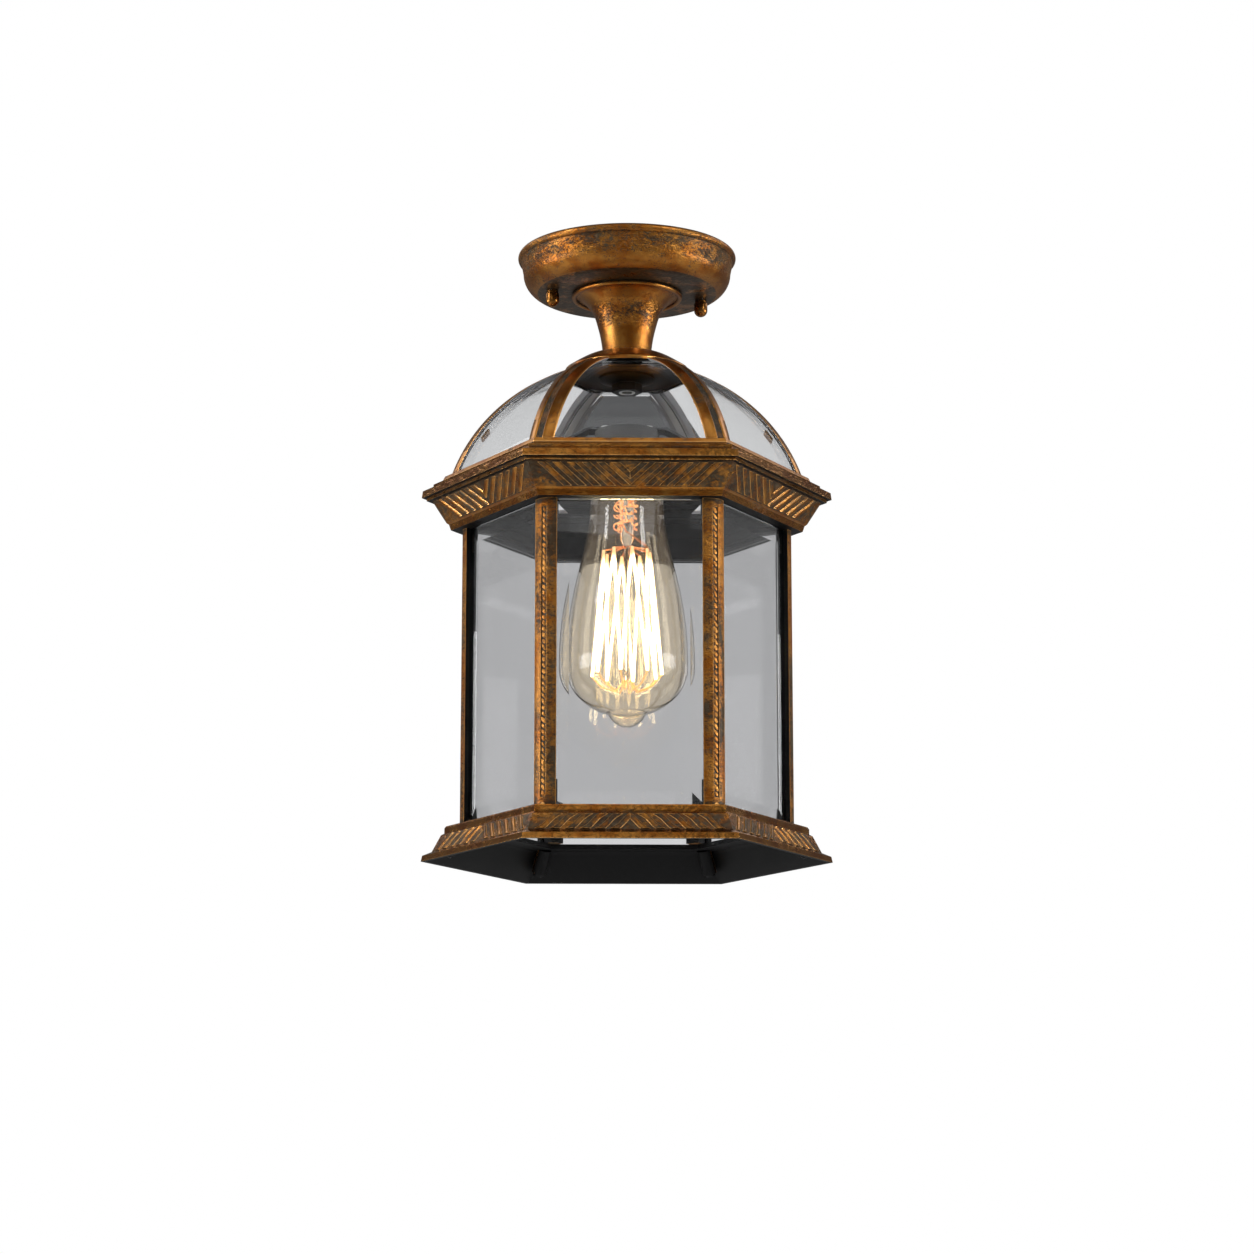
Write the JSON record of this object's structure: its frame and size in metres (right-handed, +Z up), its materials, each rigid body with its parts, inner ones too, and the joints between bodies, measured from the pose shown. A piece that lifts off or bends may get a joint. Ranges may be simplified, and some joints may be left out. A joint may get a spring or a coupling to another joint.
{
  "type": "outdoor ceiling light",
  "caption": "Hexagonal glazed lantern close to the ceiling: round canopy, short neck, domed rib frame, moulded cornice, angle posts and flared open skirt round a hanging lamp.",
  "frame": {"origin": "centre of the ceiling plane, where the canopy's rim and the mounting bar meet the ceiling", "axes": "+Z up into the ceiling, +X towards one corner of the lantern, -Y towards the front pane"},
  "size_m": [0.248, 0.2148, 0.3742],
  "materials": {
    "antique_gold": "cast aluminium with antique gold-bronze paint, rubbed bright on the edges, dark patina in the hollows",
    "zinc_steel": "zinc plated",
    "clear_glass": "clear, polished edges",
    "lamp_glass": "clear, faintly amber",
    "brass": "plain",
    "black_glass": "glossy",
    "lamp_wire": "bare wire",
    "porcelain": "white glaze"
  },
  "bodies": {
    "lantern": {"bar_rivet": "zinc_steel", "bar_studs": "zinc_steel", "bridge_screws": "zinc_steel", "canopy": "antique_gold", "canopy_nut": "zinc_steel", "canopy_washer": "zinc_steel", "cornice": "antique_gold", "cornice_screws": "zinc_steel", "crown_nut": "zinc_steel", "crown_washer": "zinc_steel", "dome_frame": "antique_gold", "dome_pane_1": "clear_glass", "dome_pane_2": "clear_glass", "dome_pane_3": "clear_glass", "dome_pane_4": "clear_glass", "dome_pane_5": "clear_glass", "dome_pane_6": "clear_glass", "dome_pane_clips": "zinc_steel", "earth_screw": "zinc_steel", "holder_body": "porcelain", "holder_bridge": "zinc_steel", "holder_contact": "brass", "holder_screws": "zinc_steel", "holder_shell": "brass", "mounting_bar": "zinc_steel", "neck": "antique_gold", "nipple": "zinc_steel", "post_1": "antique_gold", "post_2": "antique_gold", "post_3": "antique_gold", "post_4": "antique_gold", "post_5": "antique_gold", "post_6": "antique_gold", "side_pane_1": "clear_glass", "side_pane_2": "clear_glass", "side_pane_3": "clear_glass", "side_pane_4": "clear_glass", "side_pane_5": "clear_glass", "side_pane_6": "clear_glass", "skirt": "antique_gold", "skirt_screws": "zinc_steel", "stud_bar": "zinc_steel", "stud_locknuts": "zinc_steel"},
    "bulb": {"bulb_cap": "brass", "bulb_contact": "brass", "bulb_filament": "lamp_wire", "bulb_glass": "lamp_glass", "bulb_hooks": "lamp_wire", "bulb_insulator": "black_glass", "bulb_stem": "lamp_glass"},
    "cap_nut_1": {"cap_nut_1": "antique_gold"},
    "cap_nut_2": {"cap_nut_2": "antique_gold"}
  },
  "joints": [
    {"name": "lamp_out", "type": "slide", "parent": "lantern", "child": "bulb", "axis": [0, 0, -1], "range_m": [0, 0.26]},
    {"name": "cap_nut_1_turn", "type": "hinge", "parent": "lantern", "child": "cap_nut_1", "pos_m": [-0.04558, -0.00969, -0.03], "axis": [0, 0, 1], "continuous": true},
    {"name": "cap_nut_2_turn", "type": "hinge", "parent": "lantern", "child": "cap_nut_2", "pos_m": [0.04558, 0.00969, -0.03], "axis": [0, 0, 1], "continuous": true}
  ]
}
